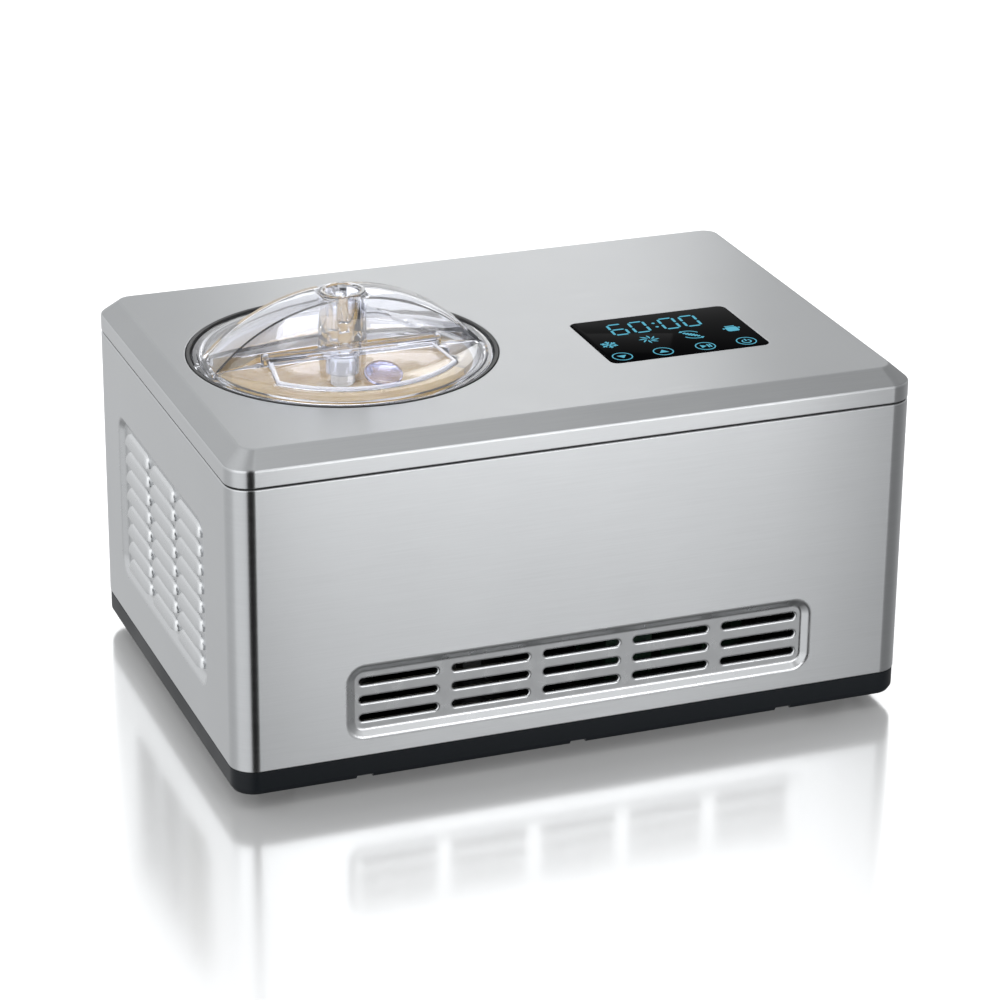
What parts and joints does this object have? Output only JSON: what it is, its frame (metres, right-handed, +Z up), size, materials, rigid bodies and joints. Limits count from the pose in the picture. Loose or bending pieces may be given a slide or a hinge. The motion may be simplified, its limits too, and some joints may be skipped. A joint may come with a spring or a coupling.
{
  "type": "ice cream maker",
  "caption": "Self-refrigerating ice cream maker: steel housing, black base, touch display, vents, and a removable bowl under a clear domed lid with a bridge handle and refill flap.",
  "frame": {"origin": "centre of the footprint, on the surface that the feet stand on", "axes": "+Z up, +X along the long side to the right as seen from the front, front faces -Y"},
  "size_m": [0.425, 0.29, 0.2596],
  "materials": {
    "stainless_steel": "fine brushed stainless sheet",
    "zinc_steel": "bright zinc-plated sheet and fasteners",
    "black_plastic": "black moulded plastic, fine grain",
    "rubber": "soft black rubber",
    "clear_plastic": "clear moulded plastic",
    "display_glass": "black glass panel with lit symbols",
    "aluminium": "satin anodised aluminium",
    "copper": "copper tube",
    "foam": "rigid insulating foam",
    "white_plastic": "white moulded plastic",
    "circuit_board": "green circuit board",
    "black_paint": "black enamel"
  },
  "bodies": {
    "base": {"housing_wrap": "stainless_steel", "rear_panel": "stainless_steel", "top_cover": "stainless_steel", "cover_gasket": "rubber", "base_tray": "black_plastic", "foot_1": "rubber", "foot_screw_1": "zinc_steel", "foot_2": "rubber", "foot_screw_2": "zinc_steel", "foot_3": "rubber", "foot_screw_3": "zinc_steel", "foot_4": "rubber", "foot_screw_4": "zinc_steel", "rear_screw_1": "zinc_steel", "rear_screw_2": "zinc_steel", "rear_screw_3": "zinc_steel", "rear_screw_4": "zinc_steel", "display_glass": "display_glass", "display_frame": "black_plastic", "display_board": "circuit_board", "control_board": "circuit_board", "board_bracket": "aluminium", "mains_inlet": "black_plastic", "bowl_collar": "rubber", "evaporator_well": "aluminium", "evaporator_coil": "copper", "insulation_shell": "foam", "shaft_bush": "white_plastic", "gear_case": "black_plastic", "gear_cover": "black_plastic", "gear_bracket": "zinc_steel", "stirring_motor": "black_paint", "compressor": "black_paint", "compressor_mount_1": "rubber", "compressor_mount_2": "rubber", "compressor_mount_3": "rubber", "compressor_mount_4": "rubber", "condenser": "aluminium", "fan_frame": "black_plastic", "fan_motor": "black_paint", "filter_drier": "copper", "suction_pipe": "copper", "discharge_pipe": "copper"},
    "bowl": {"bowl": "aluminium"},
    "lid": {"lid": "clear_plastic"},
    "flap": {"refill_flap": "clear_plastic"},
    "paddle": {"paddle": "white_plastic"},
    "drive": {"drive_shaft": "zinc_steel", "output_gear": "white_plastic"},
    "pinion": {"motor_pinion": "white_plastic", "pinion_shaft": "zinc_steel"},
    "fan": {"fan_blades": "black_plastic"}
  },
  "joints": [
    {"name": "bowl_lift", "type": "slide", "parent": "base", "child": "bowl", "axis": [0, 0, 1], "range_m": [0, 0.13]},
    {"name": "lid_lift", "type": "slide", "parent": "bowl", "child": "lid", "axis": [0, 0, 1], "range_m": [0, 0.06]},
    {"name": "flap_hinge", "type": "hinge", "parent": "lid", "child": "flap", "pos_m": [-0.09895, -0.0196, 0.22911], "axis": [-1, 0, 0], "range_deg": [0, 88]},
    {"name": "paddle_spin", "type": "hinge", "parent": "bowl", "child": "paddle", "pos_m": [-0.09895, -0.002, 0.1709], "axis": [0, 0, 1], "continuous": true},
    {"name": "shaft_spin", "type": "hinge", "parent": "base", "child": "drive", "pos_m": [-0.09895, -0.002, 0.06], "axis": [0, 0, 1], "continuous": true},
    {"name": "pinion_spin", "type": "hinge", "parent": "base", "child": "pinion", "pos_m": [-0.06145, -0.002, 0.06], "axis": [0, 0, 1], "continuous": true},
    {"name": "fan_spin", "type": "hinge", "parent": "base", "child": "fan", "pos_m": [0.198, 0.005, 0.106], "axis": [1, 0, 0], "continuous": true}
  ],
  "couplings": [
    {"joint": "paddle_spin", "follows": "shaft_spin", "ratio": 1},
    {"joint": "pinion_spin", "follows": "shaft_spin", "ratio": -4}
  ]
}
